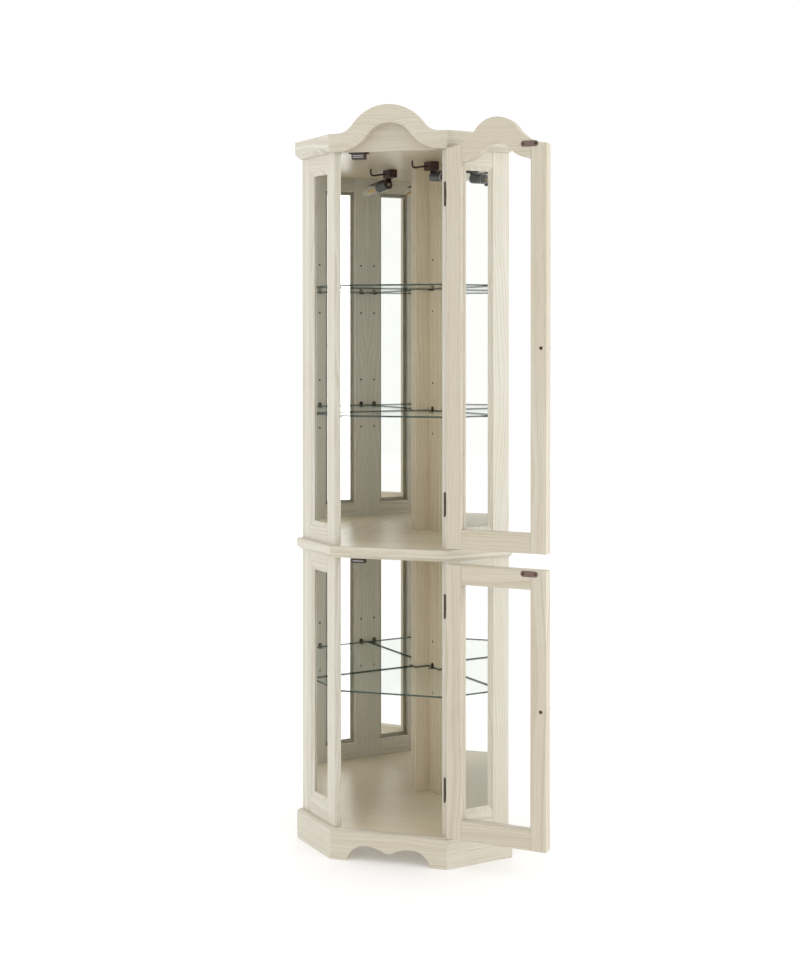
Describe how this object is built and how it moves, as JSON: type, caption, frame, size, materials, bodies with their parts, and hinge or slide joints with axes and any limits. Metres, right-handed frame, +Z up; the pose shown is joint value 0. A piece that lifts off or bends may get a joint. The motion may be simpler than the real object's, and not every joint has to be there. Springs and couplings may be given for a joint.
{
  "type": "corner curio cabinet",
  "caption": "Tall five-sided corner display cabinet with an arched crown, two glazed doors, glass shelves, a mirrored back and a top lamp.",
  "frame": {"origin": "foot of the room's corner, where the two walls meet the floor, at the rear foot's corner", "axes": "+Z up, the cabinet faces -Y, the walls run from the origin along (-1, -1) and (1, -1)"},
  "size_m": [0.6504, 0.4452, 1.744],
  "materials": {
    "pale_wood": "whitewashed ash, open grain, satin",
    "panel_wood": "whitewashed ash veneer, satin",
    "back_board": "plain fibre board",
    "clear_glass": "clear flat glass",
    "shelf_glass": "clear flat glass with green polished edges",
    "mirror_glass": "silvered glass",
    "knob_metal": "dark bronze",
    "plate_metal": "dark bronze",
    "hinge_metal": "dark bronze",
    "peg_metal": "dark bronze",
    "catch_plastic": "dark brown plastic",
    "lamp_block": "dark red-brown",
    "lamp_socket": "dark grey",
    "bulb_glass": "clear glass",
    "lead_cover": "dark brown lead"
  },
  "bodies": {
    "carcass": {"apron_rail": "pale_wood", "crown_front": "pale_wood", "crown_left": "pale_wood", "crown_right": "pale_wood", "fascia_board": "pale_wood", "floor_panel": "panel_wood", "frame_hinge_leaves": "hinge_metal", "hinge_pins": "hinge_metal", "lamp_bracket": "lamp_block", "lamp_bulb": "bulb_glass", "lamp_lead": "lead_cover", "lamp_socket": "lamp_socket", "left_back_board": "back_board", "left_back_stile": "pale_wood", "left_bottom_rail": "pale_wood", "left_front_stile": "pale_wood", "left_mid_rail": "pale_wood", "left_mirror": "mirror_glass", "left_top_rail": "pale_wood", "magnetic_catches": "catch_plastic", "mid_panel": "panel_wood", "plinth_front": "pale_wood", "plinth_left": "pale_wood", "plinth_right": "pale_wood", "post_left_board": "pale_wood", "post_right_board": "pale_wood", "rear_foot": "back_board", "right_back_board": "back_board", "right_back_stile": "pale_wood", "right_bottom_rail": "pale_wood", "right_front_stile": "pale_wood", "right_mid_rail": "pale_wood", "right_mirror": "mirror_glass", "right_top_rail": "pale_wood", "shelf_supports": "peg_metal", "side_panes": "clear_glass", "top_panel": "panel_wood", "waist_front": "pale_wood", "waist_left": "pale_wood", "waist_right": "pale_wood"},
    "upper_door": {"upper_catch_plate": "plate_metal", "upper_door_bottom_rail": "pale_wood", "upper_door_hinge_leaves": "hinge_metal", "upper_door_hinge_stile": "pale_wood", "upper_door_latch_stile": "pale_wood", "upper_door_pane": "clear_glass", "upper_door_top_rail": "pale_wood", "upper_knob": "knob_metal"},
    "lower_door": {"lower_catch_plate": "plate_metal", "lower_door_bottom_rail": "pale_wood", "lower_door_hinge_leaves": "hinge_metal", "lower_door_hinge_stile": "pale_wood", "lower_door_latch_stile": "pale_wood", "lower_door_pane": "clear_glass", "lower_door_top_rail": "pale_wood", "lower_knob": "knob_metal"},
    "lower_shelf_body": {"lower_shelf": "shelf_glass"},
    "middle_shelf_body": {"middle_shelf": "shelf_glass"},
    "upper_shelf_body": {"upper_shelf": "shelf_glass"}
  },
  "joints": [
    {"name": "upper_door_hinge", "type": "hinge", "parent": "carcass", "child": "upper_door", "pos_m": [0.13229, -0.38333, 1.18], "axis": [0, 0, 1], "range_deg": [-170, 8]},
    {"name": "lower_door_hinge", "type": "hinge", "parent": "carcass", "child": "lower_door", "pos_m": [0.13229, -0.38333, 0.38], "axis": [0, 0, 1], "range_deg": [-170, 8]},
    {"name": "lower_shelf_lift", "type": "slide", "parent": "carcass", "child": "lower_shelf_body", "axis": [0, 0, 1], "range_m": [0, 0.02]},
    {"name": "middle_shelf_lift", "type": "slide", "parent": "carcass", "child": "middle_shelf_body", "axis": [0, 0, 1], "range_m": [0, 0.02]},
    {"name": "upper_shelf_lift", "type": "slide", "parent": "carcass", "child": "upper_shelf_body", "axis": [0, 0, 1], "range_m": [0, 0.02]}
  ]
}
